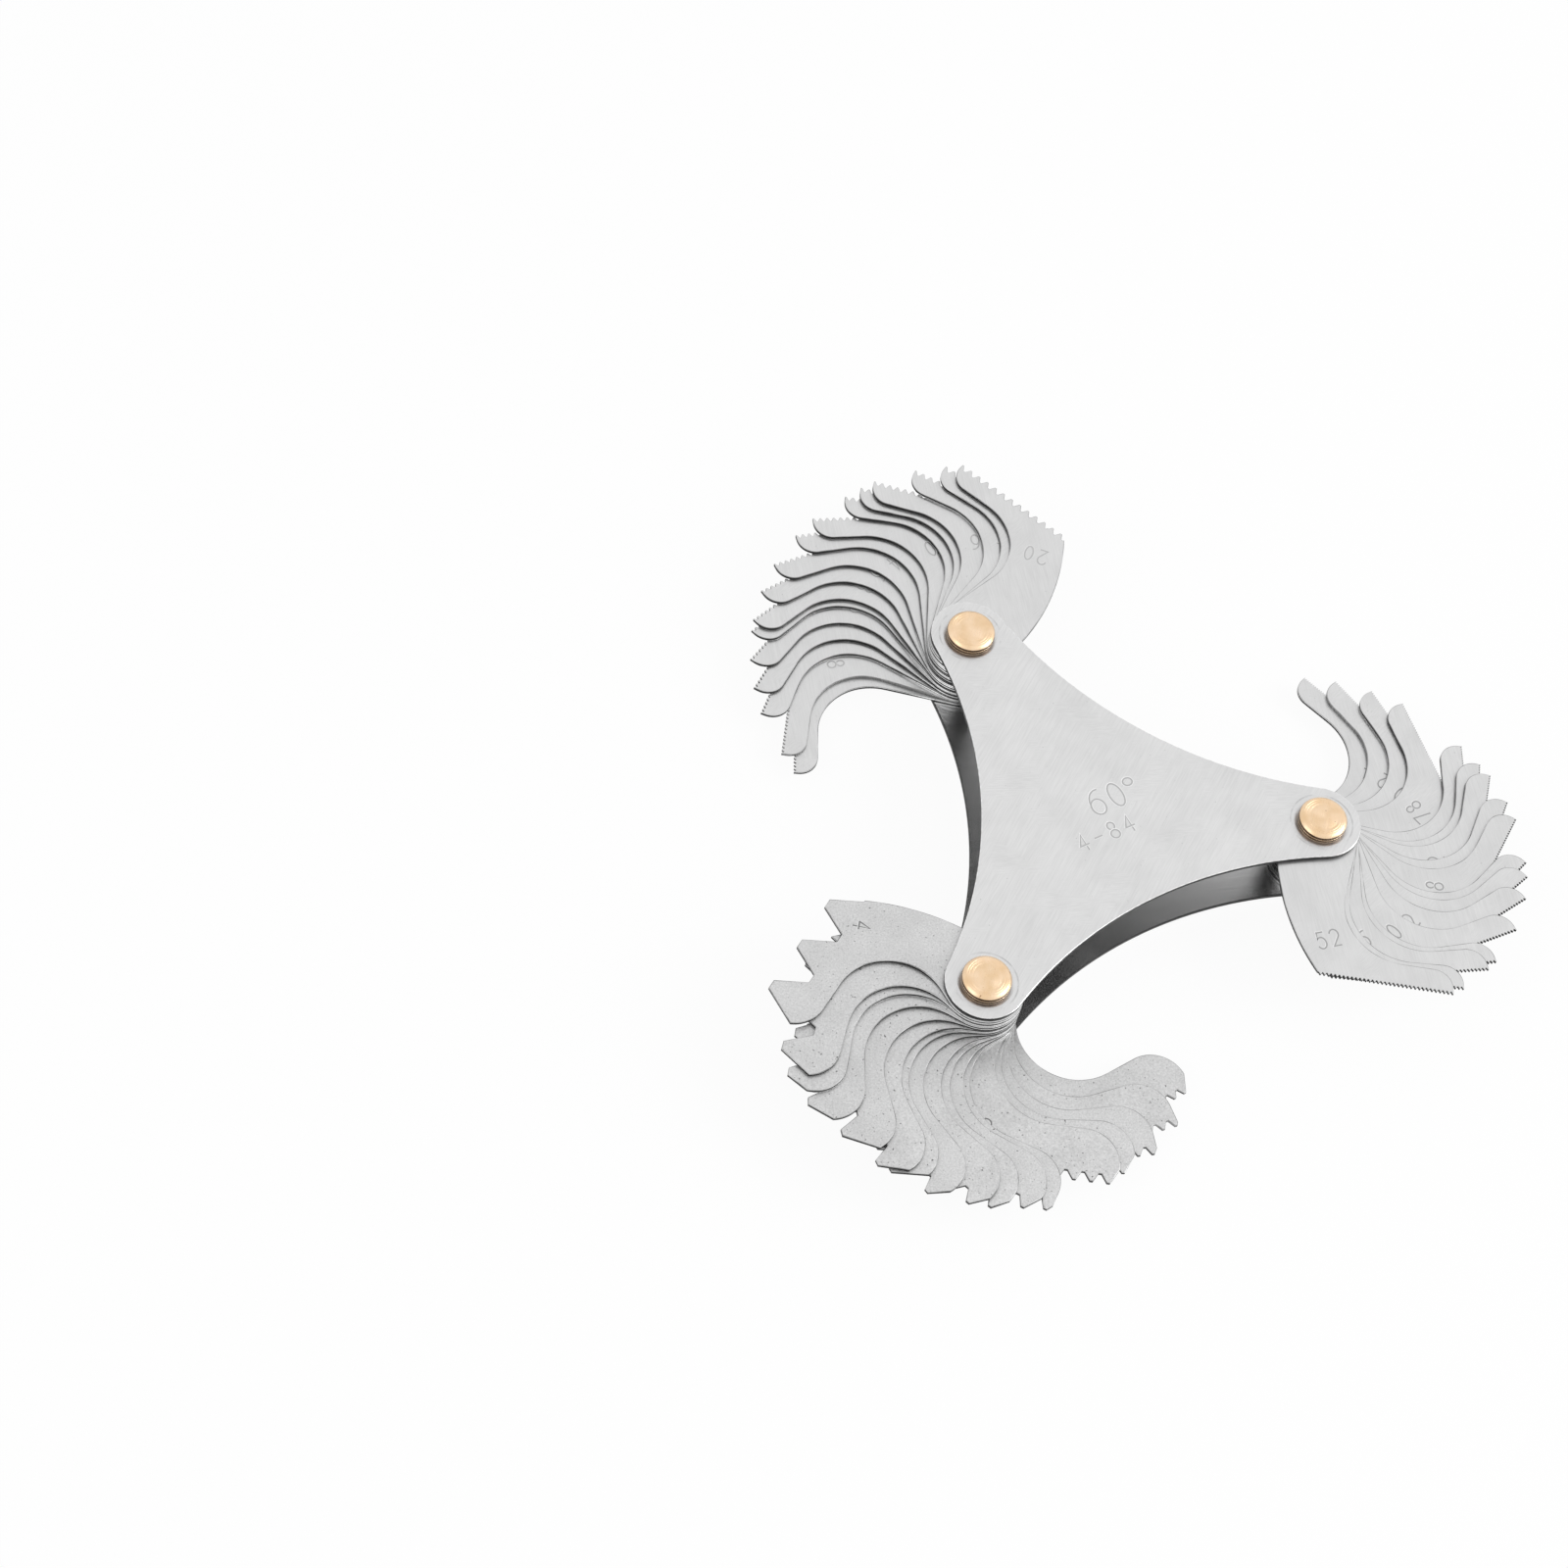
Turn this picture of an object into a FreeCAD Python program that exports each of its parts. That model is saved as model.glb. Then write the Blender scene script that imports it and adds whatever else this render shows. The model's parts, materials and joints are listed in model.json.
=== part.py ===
import FreeCAD, Part
import math
import os
from FreeCAD import Vector

# A three-armed screw pitch gauge: three packs of thin toothed leaves between two plates.
# Origin: middle of the three rivets, on the plane that the lower rivet heads stand on.
# +X points at the rivet of the finest pack, +Z goes up through the plates. Millimetres.

# Case plates: three round corners joined by three hollow sides
RIVET_SPACING = 47.55           # from rivet to rivet
CORNER_RADIUS = 4.75            # round each rivet
WAIST = 13.3                    # from the middle of the case to the middle of a side
PLATE_THICKNESS = 0.6
PLATE_BORE_CLEARANCE = 0.03     # round the rivet shank

# Rivets: one turned piece each, with a head at both ends
HEAD_RADIUS = 2.9
HEAD_HEIGHT = 1.2
HEAD_BEVEL = 0.35               # round the outer edge of a head
SHANK_RADIUS = 1.1

# Leaves: one punched outline, as a slim and as a wide-nosed blank
LEAF_THICKNESS = 0.43
LEAF_GAP = 0.03                 # oil gap between neighbours
LEAF_BORE_CLEARANCE = 0.05      # round the rivet shank
ROOT_RADIUS = 4.8               # disc round the rivet
REACH = 20.3                    # from the rivet to the line of the tooth crests
BACK_RADIUS = 28.4              # long curve that a finger pushes
BACK_DIRECTION = 171.3          # from the rivet to the centre of that curve
NECK_WIDTH = 7.4                # metal left between the hollow and the back
HOLLOW_RADIUS = 7.0
HOLLOW_STANDOFF = 0.1           # from the hollow's circle to the root disc
SLIM_BAND = 2.9                 # metal behind the crest line
SLIM_NOSE_RADIUS = 2.3
SLIM_END = 16.2                 # from the rivet to the nose, along the crest line
WIDE_BAND = 6.5
WIDE_NOSE_RADIUS = 4.0
WIDE_END = 17.2
OUTLINE_SAG = 0.12              # the curves are short straight steps, this close to the arc
BORE_SIDES = 10                 # the bore is stepped too, with its flats at the clearance

# Teeth: sixty degree threads with flat crests and roots
INCH = 25.4
FLANK_ANGLE = 30.0              # from a flank to the middle of its tooth
FLAT_SHARE = 3.0 / 16.0         # of the pitch, at the crest and at the root
FINEST_CUT_PITCH = 0.9          # below this the edge stays straight

# How a leaf is turned from its arm's direction when it lies in the case
CLOSED_TURN = 68.0

# Each pack: the direction of its arm, then each leaf from the top plate down, with its
# threads per inch, how far out it is swung and how far its last crest is from the nose's end
COARSE_DIRECTION = 240.0
COARSE_LEAVES = [
    (4, 249, 2.9), (4.5, 232.5, 2.4), (5, 227.5, 1.4), (5.5, 218, 1.65), (6, 205, 2.4),
    (7, 194.5, 1.8), (8, 190, 2.25), (9, 181.5, 1.3), (10, 171, 1.25), (11, 165.5, 1.15),
    (11.5, 157, 1.2), (12, 152.5, 0.45), (13, 133, 1.05), (14, 127, 1.35), (15, 118.5, 0.4),
    (16, 108, 0.2), (18, 96, 1.2),
]
MEDIUM_DIRECTION = 120.0
MEDIUM_LEAVES = [
    (20, 227, 0), (22, 222.5, 0), (24, 214, 0), (26, 202, 0), (27, 198, 0), (28, 193, 0),
    (30, 181.5, 0), (32, 174.5, 0), (34, 163.5, 0), (36, 154.5, 0), (38, 145.5, 0), (40, 142.5, 0),
    (42, 134, 0), (44, 125.5, 0), (46, 118, 0), (48, 105, 0), (50, 99, 0),
]
FINE_DIRECTION = 0.0
FINE_LEAVES = [
    (52, 254.5, 0), (54, 250.5, 0), (56, 240.5, 0), (58, 236.5, 0), (60, 224, 0), (62, 213, 0),
    (64, 205.5, 0), (66, 200.5, 0), (68, 186.5, 0), (70, 180.5, 0), (72, 171, 0), (74, 166.5, 0),
    (76, 159, 0), (78, 139, 0), (80, 130, 0), (82, 120, 0), (84, 111.5, 0),
]

# Worked out from the sizes above
DIRECTIONS = (FINE_DIRECTION, MEDIUM_DIRECTION, COARSE_DIRECTION)
RIVET_CIRCLE = RIVET_SPACING / math.sqrt(3)
LEAF_PITCH = LEAF_THICKNESS + LEAF_GAP
BAY_FLOOR_Z = HEAD_HEIGHT + PLATE_THICKNESS
BAY_ROOF_Z = BAY_FLOOR_Z + LEAF_GAP + len(COARSE_LEAVES) * LEAF_PITCH
UPPER_HEAD_Z = BAY_ROOF_Z + PLATE_THICKNESS
PIVOT = Vector(0, 0, 0)
UP = Vector(0, 0, 1)


def polar(radius, degrees, centre=PIVOT):
    """A point in the plane, from its distance and direction."""
    angle = math.radians(degrees)
    return centre + Vector(radius * math.cos(angle), radius * math.sin(angle), 0)


def direction(start, end):
    """The direction from one point to another, in degrees."""
    return math.degrees(math.atan2(end.y - start.y, end.x - start.x))


def stepped_arc(centre, radius, first, last, clockwise):
    """Points along an arc, as far apart as the outline's sag allows."""
    start = direction(centre, first)
    sweep = direction(centre, last) - start
    sweep = -(-sweep % 360) if clockwise else sweep % 360
    step = 2 * math.degrees(math.acos(1 - OUTLINE_SAG / radius))
    count = math.ceil(abs(sweep) / step)
    return [polar(radius, start + sweep * i / count, centre) for i in range(count + 1)]


def crossing_tangent(centre_a, radius_a, centre_b, radius_b):
    """Touch points of the line that has circle A on its right and circle B on its left."""
    spread = math.degrees(math.acos((radius_a + radius_b) / centre_a.distanceToPoint(centre_b)))
    normal = direction(centre_a, centre_b) + spread
    return polar(radius_a, normal, centre_a), polar(-radius_b, normal, centre_b)


def back_x(y):
    """The back curve's place at a height above the rivet."""
    centre = polar(BACK_RADIUS - ROOT_RADIUS, BACK_DIRECTION)
    return centre.x + math.sqrt(BACK_RADIUS ** 2 - (y - centre.y) ** 2)


def hollow_circle(band):
    """Centre and radius of the hollow, which is smaller where the root disc leaves less room."""
    top = REACH - band
    side = back_x(top - HOLLOW_RADIUS) - NECK_WIDTH
    # The circle that touches the top and the side, and clears the root disc, solves a quadratic
    clear_of = ROOT_RADIUS + HOLLOW_STANDOFF
    half_b = top + side + clear_of
    largest = half_b - math.sqrt(half_b ** 2 - top ** 2 - side ** 2 + clear_of ** 2)
    radius = min(HOLLOW_RADIUS, largest)
    return Vector(side - radius, top - radius, 0), radius


def blank_outline(band, nose_radius, end):
    """Closed outline of a leaf whose crest line lies across +Y, with the rivet at the origin."""
    back_centre = polar(BACK_RADIUS - ROOT_RADIUS, BACK_DIRECTION)
    corner = Vector(back_x(REACH), REACH, 0)
    root_start = polar(-ROOT_RADIUS, BACK_DIRECTION)
    hollow, hollow_radius = hollow_circle(band)
    root_end, hollow_start = crossing_tangent(PIVOT, ROOT_RADIUS, hollow, hollow_radius)
    hollow_end = hollow + Vector(0, hollow_radius, 0)
    nose = Vector(nose_radius - end, REACH - band + nose_radius, 0)
    nose_start = nose - Vector(0, nose_radius, 0)
    nose_end = nose - Vector(nose_radius, 0, 0)

    points = stepped_arc(back_centre, BACK_RADIUS, corner, root_start, True)
    points += stepped_arc(PIVOT, ROOT_RADIUS, root_start, root_end, True)[1:]
    points += stepped_arc(hollow, hollow_radius, hollow_start, hollow_end, False)
    points += stepped_arc(nose, nose_radius, nose_start, nose_end, True)
    points += [Vector(-end, REACH, 0), corner]
    return Part.makePolygon(points)


def notches(end, pitch, inset):
    """The gaps between the teeth, from the last crest by the nose back to the back corner."""
    flat = pitch * FLAT_SHARE
    run = pitch / 2 - flat
    slope = math.tan(math.radians(FLANK_ANGLE))
    depth = run / slope
    above = flat / 2
    last_crest = inset - end
    profiles = []
    if inset > 0:
        # The last flank runs on across the nose
        low = REACH - WIDE_BAND
        profiles.append([
            Vector(last_crest + above * slope, REACH + above, 0),
            Vector(last_crest - WIDE_BAND * slope, low, 0),
            Vector(-end - WIDE_BAND, low, 0),
            Vector(-end - WIDE_BAND, REACH + above, 0),
        ])
    start = last_crest + flat
    while start < back_x(REACH):
        profiles.append([
            Vector(start - above * slope, REACH + above, 0),
            Vector(start + run, REACH - depth, 0),
            Vector(start + run + flat, REACH - depth, 0),
            Vector(start + 2 * run + flat + above * slope, REACH + above, 0),
        ])
        start += pitch
    cuts = []
    for profile in profiles:
        face = Part.Face(Part.makePolygon(profile + profile[:1]))
        face.translate(-UP * LEAF_THICKNESS)
        cuts.append(face.extrude(UP * 3 * LEAF_THICKNESS))
    return Part.makeCompound(cuts)


def leaf(band, nose_radius, end, threads_per_inch, inset):
    """One flat leaf on the XY plane, with its bore at the origin."""
    bore_radius = (SHANK_RADIUS + LEAF_BORE_CLEARANCE) / math.cos(math.pi / BORE_SIDES)
    bore = Part.makePolygon([polar(bore_radius, 360 * i / BORE_SIDES) for i in range(BORE_SIDES + 1)])
    solid = Part.Face([blank_outline(band, nose_radius, end), bore]).extrude(UP * LEAF_THICKNESS)
    pitch = INCH / threads_per_inch
    if pitch > FINEST_CUT_PITCH:
        solid = solid.cut(notches(end, pitch, inset))
    return solid


def pack(arm, leaves, band, nose_radius, end):
    """A pack's leaves on their rivet, fanned out as they are swung, by node name."""
    nodes = {}
    top_leaf_z = BAY_ROOF_Z - LEAF_PITCH
    for level, (threads_per_inch, swing, inset) in enumerate(leaves):
        solid = leaf(band, nose_radius, end, threads_per_inch, inset)
        solid.rotate(PIVOT, UP, arm + CLOSED_TURN - swing)
        solid.translate(polar(RIVET_CIRCLE, arm) + UP * (top_leaf_z - level * LEAF_PITCH))
        name = "leaf_{}_tpi".format(threads_per_inch).replace(".", "_")
        nodes[name] = solid
    return nodes


def plate(floor_z):
    """A case plate: three round corners and three hollow sides that run into them."""
    # A side's centre lies on the line between two arms, so far out that its arc
    # passes the waist and touches both corner circles
    middle = RIVET_CIRCLE * math.cos(math.radians(60))
    half = RIVET_CIRCLE * math.sin(math.radians(60))
    inset = WAIST - middle
    side_radius = (half ** 2 + inset ** 2 - CORNER_RADIUS ** 2) / (2 * (CORNER_RADIUS - inset))
    edges = []
    for arm in DIRECTIONS:
        corner = polar(RIVET_CIRCLE, arm)
        before = polar(WAIST + side_radius, arm - 60)
        after = polar(WAIST + side_radius, arm + 60)
        start = polar(CORNER_RADIUS, direction(corner, before), corner)
        finish = polar(CORNER_RADIUS, direction(corner, after), corner)
        tip = polar(RIVET_CIRCLE + CORNER_RADIUS, arm)
        next_corner = polar(RIVET_CIRCLE, arm + 120)
        next_start = polar(CORNER_RADIUS, direction(next_corner, after), next_corner)
        edges.append(Part.Arc(start, tip, finish).toShape())
        edges.append(Part.Arc(finish, polar(WAIST, arm + 60), next_start).toShape())
    solid = Part.Face(Part.Wire(edges)).extrude(UP * PLATE_THICKNESS)
    for arm in DIRECTIONS:
        bore_radius = SHANK_RADIUS + PLATE_BORE_CLEARANCE
        solid = solid.cut(Part.makeCylinder(bore_radius, PLATE_THICKNESS, polar(RIVET_CIRCLE, arm)))
    solid.translate(UP * floor_z)
    return solid


def rivet(arm):
    """A rivet turned in one piece: a bevelled head, the shank and a second head."""
    top = UPPER_HEAD_Z + HEAD_HEIGHT
    profile = [
        Vector(0, 0, 0),
        Vector(HEAD_RADIUS - HEAD_BEVEL, 0, 0),
        Vector(HEAD_RADIUS, 0, HEAD_BEVEL),
        Vector(HEAD_RADIUS, 0, HEAD_HEIGHT),
        Vector(SHANK_RADIUS, 0, HEAD_HEIGHT),
        Vector(SHANK_RADIUS, 0, UPPER_HEAD_Z),
        Vector(HEAD_RADIUS, 0, UPPER_HEAD_Z),
        Vector(HEAD_RADIUS, 0, top - HEAD_BEVEL),
        Vector(HEAD_RADIUS - HEAD_BEVEL, 0, top),
        Vector(0, 0, top),
    ]
    face = Part.Face(Part.makePolygon(profile + profile[:1]))
    solid = face.revolve(PIVOT, UP, 360)
    solid.translate(polar(RIVET_CIRCLE, arm))
    return solid


def build():
    """Every node of the gauge, by name."""
    nodes = {
        "top_plate": plate(BAY_ROOF_Z),
        "bottom_plate": plate(HEAD_HEIGHT),
        "rivets": Part.makeCompound([rivet(arm) for arm in DIRECTIONS]),
    }
    nodes.update(pack(COARSE_DIRECTION, COARSE_LEAVES, WIDE_BAND, WIDE_NOSE_RADIUS, WIDE_END))
    nodes.update(pack(MEDIUM_DIRECTION, MEDIUM_LEAVES, SLIM_BAND, SLIM_NOSE_RADIUS, SLIM_END))
    nodes.update(pack(FINE_DIRECTION, FINE_LEAVES, SLIM_BAND, SLIM_NOSE_RADIUS, SLIM_END))
    return nodes


os.makedirs("parts", exist_ok=True)
for name, shape in build().items():
    shape.exportStep("parts/" + name + ".step")
    print(name, "solids", len(shape.Solids), "valid", shape.isValid(), "volume", round(shape.Volume, 3))
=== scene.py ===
import json
import math
import bmesh
import bpy
from mathutils import Euler, Matrix, Vector


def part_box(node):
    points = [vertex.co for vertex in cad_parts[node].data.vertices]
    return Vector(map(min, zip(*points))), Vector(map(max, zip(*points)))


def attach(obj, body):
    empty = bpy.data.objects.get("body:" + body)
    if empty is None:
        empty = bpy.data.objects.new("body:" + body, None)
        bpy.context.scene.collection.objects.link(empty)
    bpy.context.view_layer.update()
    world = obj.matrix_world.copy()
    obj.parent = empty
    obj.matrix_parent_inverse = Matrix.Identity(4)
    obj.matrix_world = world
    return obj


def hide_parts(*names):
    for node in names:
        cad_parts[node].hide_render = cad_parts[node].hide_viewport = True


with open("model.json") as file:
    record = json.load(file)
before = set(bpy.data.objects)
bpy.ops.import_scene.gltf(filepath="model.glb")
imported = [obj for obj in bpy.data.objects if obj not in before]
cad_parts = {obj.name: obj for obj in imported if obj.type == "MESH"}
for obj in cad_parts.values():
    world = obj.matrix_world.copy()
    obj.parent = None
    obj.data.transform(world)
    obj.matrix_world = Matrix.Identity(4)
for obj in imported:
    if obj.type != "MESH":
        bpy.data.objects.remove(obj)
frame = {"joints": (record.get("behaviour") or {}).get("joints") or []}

# A three-armed screw pitch gauge: ground steel leaves fanned out of a steel case on brass rivets.
# Sizes are millimetres, the same as the solids', and become metres where a mesh is placed.

MM = 0.001

# Case plates
RIVET_SPACING = 47.55
ARM_LENGTH = RIVET_SPACING / math.sqrt(3)
ARMS = (0, 120, 240)            # directions of the three rivets
CORNER_RADIUS = 4.75
WAIST = 13.3                    # from the middle to the hollow sides
PLATE_THICKNESS = 0.6
PLATE_BORE_RADIUS = 1.13
PLATE_LIP = 0.07                # tumbled edge of a plate
PLATE_PITCH = 8.45              # from the bottom plate to the top one

# Rivets
HEAD_RADIUS = 2.9
HEAD_HEIGHT = 1.2
HEAD_FOOT = 0.04                # small chamfer where a head meets the plate
SHANK_RADIUS = 1.1
RIVET_STEPS = 72
TOOL_MARK = 0.09                # from one turning mark to the next
SCUFF_RADIUS = 3.75             # ring that the riveting tool left round a head
SCUFF_WIDTH = 0.15
DISH_WIDTH = 0.4                # the plate is pressed in a little at a head's foot
DISH_DEPTH = 0.05

# A head's turned face as radius and depth: a middle pip and three grooves
HEAD_FACE = [
    (0.0, 0.02), (0.12, 0.014), (0.2, 0.0), (1.66, 0.0), (1.7, 0.012), (1.74, 0.0), (2.02, 0.0),
    (2.06, 0.02), (2.12, 0.0), (2.26, 0.0), (2.3, 0.02), (2.36, 0.0),
]
# Its round shoulder and the groove in its side, as distance in from the rim and depth
HEAD_SHOULDER = [
    (0.42, 0.02), (0.33, 0.06), (0.22, 0.13), (0.13, 0.21), (0.07, 0.28), (0.03, 0.34),
    (0.0, 0.42), (0.0, 0.72), (0.04, 0.75), (0.0, 0.78),
]

# Leaves
LEAF_THICKNESS = 0.43
LEAF_PITCH = 0.46               # from one leaf to the next in a pack
BAY_ROOF_Z = 9.65               # underside of the top plate
LEAF_BORE_RADIUS = 1.15
ROOT_RADIUS = 4.8
REACH = 20.3                    # from the rivet to the crest line
BACK_RADIUS = 28.4              # long round edge behind the root
BACK_DIRECTION = 171.3          # from the rivet to that edge's centre
NECK_WIDTH = 7.4
HOLLOW_RADIUS = 7.0
HOLLOW_STANDOFF = 0.1           # the hollow stays this far off the root's circle
CLOSED_TURN = 68.0              # from an arm's direction to its folded leaves' own x
ARC_SAG = 0.004                 # fine steps, so that the outline looks round
BORE_STEPS = 48

# Blanks: metal behind the crest line, nose radius, distance from the rivet to the nose
SLIM_BLANK = (2.9, 2.3, 16.2)
WIDE_BLANK = (6.5, 4.0, 17.2)
FIRST_SLIM = 20                 # threads per inch from which a leaf is slim
FIRST_FINE = 52                 # and from which it is in the fine pack

# Teeth
INCH = 25.4
FLANK_SLOPE = math.tan(math.radians(30))
FLAT_SHARE = 3.0 / 16.0
ROOT_ROUNDING = 0.02            # of the pitch

# Punched edges, whose walls carry painted shade and painted highlight
ROOT_HIGHLIGHT_RADIUS = 7.5             # out to here the leaves' edges carry more painted highlight
OUTER_SHADE_GAIN = 0.5                 # further out, the dark torn part with its painted shade takes this much more of the thickness
TURNED_SHEETS = 3               # one sheet in this many was punched from its other face
LEAF_TEARS = (0.3, 0.85)        # least and most that tore, as shares of the thickness; the torn part holds painted shade
PLATE_SHADE_SHARES = (1.1, 1.1)        # more than the whole, so that no burnished part is left and a plate's wall is all painted shade
BLUNT_SEED = 31                 # a second draw for each sheet
RIM_WIDTH = 0.08                # rim that the punch rolls over, round both faces of a leaf
RIM_DROP = 0.025                # how far the rolled rim falls at its edge
TOOTH_RIM_SHARE = 0.05          # of the pitch, the rim's width along the teeth

# From the nose's end to the last crest, on the coarse leaves
CREST_INSETS = {
    "4": 2.9, "4.5": 2.4, "5": 1.4, "5.5": 1.65, "6": 2.4, "7": 1.8, "8": 2.25, "9": 1.3,
    "10": 1.25, "11": 1.15, "11.5": 1.2, "12": 0.45, "13": 1.05, "14": 1.35, "15": 0.4, "16": 0.2,
    "18": 1.2,
}

# Engraved figures: height, width and step from one to the next
LEAF_FIGURES = (2.15, 1.3, 1.75)
ANGLE_FIGURES = (3.3, 2.2, 2.74)
RANGE_FIGURES = (2.3, 1.5, 2.1)
SMALL_FIGURES = (1.1, 0.7, 0.9)
GROOVE_WIDTH = 0.26
GROOVE_PROUD = 0.003            # lies this far above the face, where it can be seen
STROKE_STEP = 0.0012            # a later stroke lies this much higher, so that crossings stay clean
NUMBER_PLACE = (-1.3, 15.5)     # middle of a leaf's number, from its rivet
NUMBER_TURN = 201               # reading direction on a leaf, which points at its nose
BOW_STEP = 15                   # degrees from point to point round a figure's bow

# A half, figure by figure: how far along and up from its middle each one stands
HALF_FIGURES = (
    ("1", -0.4, 0.5, SMALL_FIGURES),
    ("/", 0.0, 0.0, LEAF_FIGURES),
    ("2", 0.5, -0.5, SMALL_FIGURES),
)

# The top plate's lines: text, middle, figures and reading direction
PLATE_LINES = (
    ("60°", (2.86, 2.22), ANGLE_FIGURES, 27),
    ("4-84", (1.31, -3.18), RANGE_FIGURES, 28),
)

# Meshes
WELD = 0.0005                   # corners nearer than this are one
FACING = 0.5                    # upright share of a normal from which a face lies flat
PLATE_FLAT = 0.99               # the same for a plate, whose lip starts just below it
PLATE_LIP_END = 0.2             # and where its lip turns into its wall
LEAF_CREASE = 15                # degrees past which an edge stays sharp
PLATE_CREASE = 20
RIVET_CREASE = 25

# Camera, matched to the rivets and the plates' corners: place, turn about x, y and z, lens
CAMERA_PLACE = (-81.955, -221.5, 366.266)
CAMERA_TURN = (31.8907, -6.8932, -0.6083)
CAMERA_LENS = 83.25
SENSOR_WIDTH = 36

# Studio. A lamp is its place and width in metres, and its watts
SOFT_LEVEL = 0.7                # of the plain light from all round
FLOOR_GLOW = 0.93               # share of the floor that shows plain white
FLOOR_HALF = 1500
FLOOR_DROP = 0.02               # keeps the floor clear of the rivets' faces
WINDOW_LAMP = ((0.7, -0.1, 0.45), 0.5, 3.2)
FILL_LAMP = ((-0.6, -0.35, 0.5), 0.5, 1.0)


# Colour and nodes

def srgb(code):
    """A written colour as the linear values that a shader takes."""
    parts = [int(code[i:i + 2], 16) / 255 for i in (1, 3, 5)]
    return [p / 12.92 if p <= 0.04045 else ((p + 0.055) / 1.055) ** 2.4 for p in parts] + [1.0]


def add(tree, kind, inputs=None, **settings):
    """One node, with its settings, its values and its links."""
    node = tree.nodes.new(kind)
    for name, value in settings.items():
        setattr(node, name, value)
    for key, value in (inputs or {}).items():
        if isinstance(value, bpy.types.NodeSocket):
            tree.links.new(value, node.inputs[key])
        else:
            node.inputs[key].default_value = value
    return node


def new_material(name, colour, roughness, metallic=1.0):
    """A material with its shader set to the metal's plain values."""
    material = bpy.data.materials.new(name)
    material.use_nodes = True
    tree = material.node_tree
    shader = tree.nodes["Principled BSDF"]
    shader.inputs["Base Color"].default_value = srgb(colour)
    shader.inputs["Roughness"].default_value = roughness
    shader.inputs["Metallic"].default_value = metallic
    return material, tree, shader


def stretched_noise(tree, coordinates, grain, turn=0.0, detail=4.0, seed=0.0):
    """Noise whose spots are as long and wide as grain says, in millimetres, turned about the upright."""
    place = add(tree, "ShaderNodeMapping", {
        "Vector": coordinates, "Rotation": (0, 0, math.radians(turn)),
        "Scale": [size * MM for size in grain]}, vector_type="TEXTURE")
    return add(tree, "ShaderNodeTexNoise", {
        "Vector": place.outputs[0], "W": seed, "Scale": 1.0, "Detail": detail},
        noise_dimensions="4D").outputs[0]


def between(tree, factor, low, high, colour_low, colour_high):
    """Blends two colours as the factor goes from low to high."""
    ramp = add(tree, "ShaderNodeValToRGB", {"Fac": factor})
    ramp.color_ramp.elements[0].position = low
    ramp.color_ramp.elements[0].color = srgb(colour_low)
    ramp.color_ramp.elements[1].position = high
    ramp.color_ramp.elements[1].color = srgb(colour_high)
    return ramp.outputs[0]


def spread(tree, factor, low, high):
    """A noise's middle range as values from low to high."""
    return add(tree, "ShaderNodeMapRange", {
        "Value": factor, "From Min": 0.3, "From Max": 0.7, "To Min": low, "To Max": high}).outputs[0]


# Materials

def ground_steel(name, pale, dull, turn):
    """Steel ground one way and tumbled: flat satin grey, faint lines, rubbed patches, a few specks."""
    material, tree, shader = new_material(name, pale, 0.34)
    place = add(tree, "ShaderNodeTexCoord").outputs["Object"]
    # Grinding lines are some 0.02 mm apart, drawn at 0.15 mm so that they show
    lines = stretched_noise(tree, place, (3.0, 0.15, 3.0), turn, 3.0)
    clouds = stretched_noise(tree, place, (4.0, 4.0, 4.0), 0, 3.0, 4.0)
    # Rub marks are short and cross the lines where the tumbling stones have touched
    rubs = stretched_noise(tree, place, (1.2, 0.12, 1.2), turn - 55, 2.0, 6.0)
    patches = add(tree, "ShaderNodeMapRange", {
        "Value": stretched_noise(tree, place, (5.0, 5.0, 5.0), 0, 2.0, 8.0),
        "From Min": 0.52, "From Max": 0.62}).outputs[0]
    crossed = add(tree, "ShaderNodeMix", {"Factor": patches, 2: lines, 3: rubs}).outputs[0]
    tone = between(tree, crossed, 0.3, 0.66, dull, pale)
    wash = between(tree, clouds, 0.3, 0.6, "#FAFAFA", "#FFFFFF")
    specks = stretched_noise(tree, place, (0.3, 0.3, 0.3), 0, 2.0, 9.0)
    fleck = between(tree, specks, 0.2, 0.32, "#B8B8B8", "#FFFFFF")
    washed = add(tree, "ShaderNodeMix", {"Factor": 1.0, 6: tone, 7: wash},
                 data_type="RGBA", blend_type="MULTIPLY").outputs[2]
    colour = add(tree, "ShaderNodeMix", {"Factor": 0.6, 6: washed, 7: fleck},
                 data_type="RGBA", blend_type="MULTIPLY").outputs[2]
    tree.links.new(colour, shader.inputs["Base Color"])
    tree.links.new(spread(tree, clouds, 0.28, 0.4), shader.inputs["Roughness"])
    bump = add(tree, "ShaderNodeBump", {"Height": crossed, "Strength": 0.25, "Distance": 0.01 * MM})
    tree.links.new(bump.outputs[0], shader.inputs["Normal"])
    return material


def from_rivet(tree, place):
    """How far a place is from the nearest rivet's axis."""
    flat = add(tree, "ShaderNodeVectorMath", {0: place, 1: (1, 1, 0)}, operation="MULTIPLY").outputs[0]
    nearest = ARM_LENGTH * MM
    for arm in ARMS:
        axis = polar(ARM_LENGTH, arm) * MM
        away = add(tree, "ShaderNodeVectorMath", {0: flat, 1: (axis.x, axis.y, 0)},
                   operation="DISTANCE").outputs["Value"]
        nearest = add(tree, "ShaderNodeMath", {0: away, 1: nearest}, operation="MINIMUM").outputs[0]
    return nearest


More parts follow.
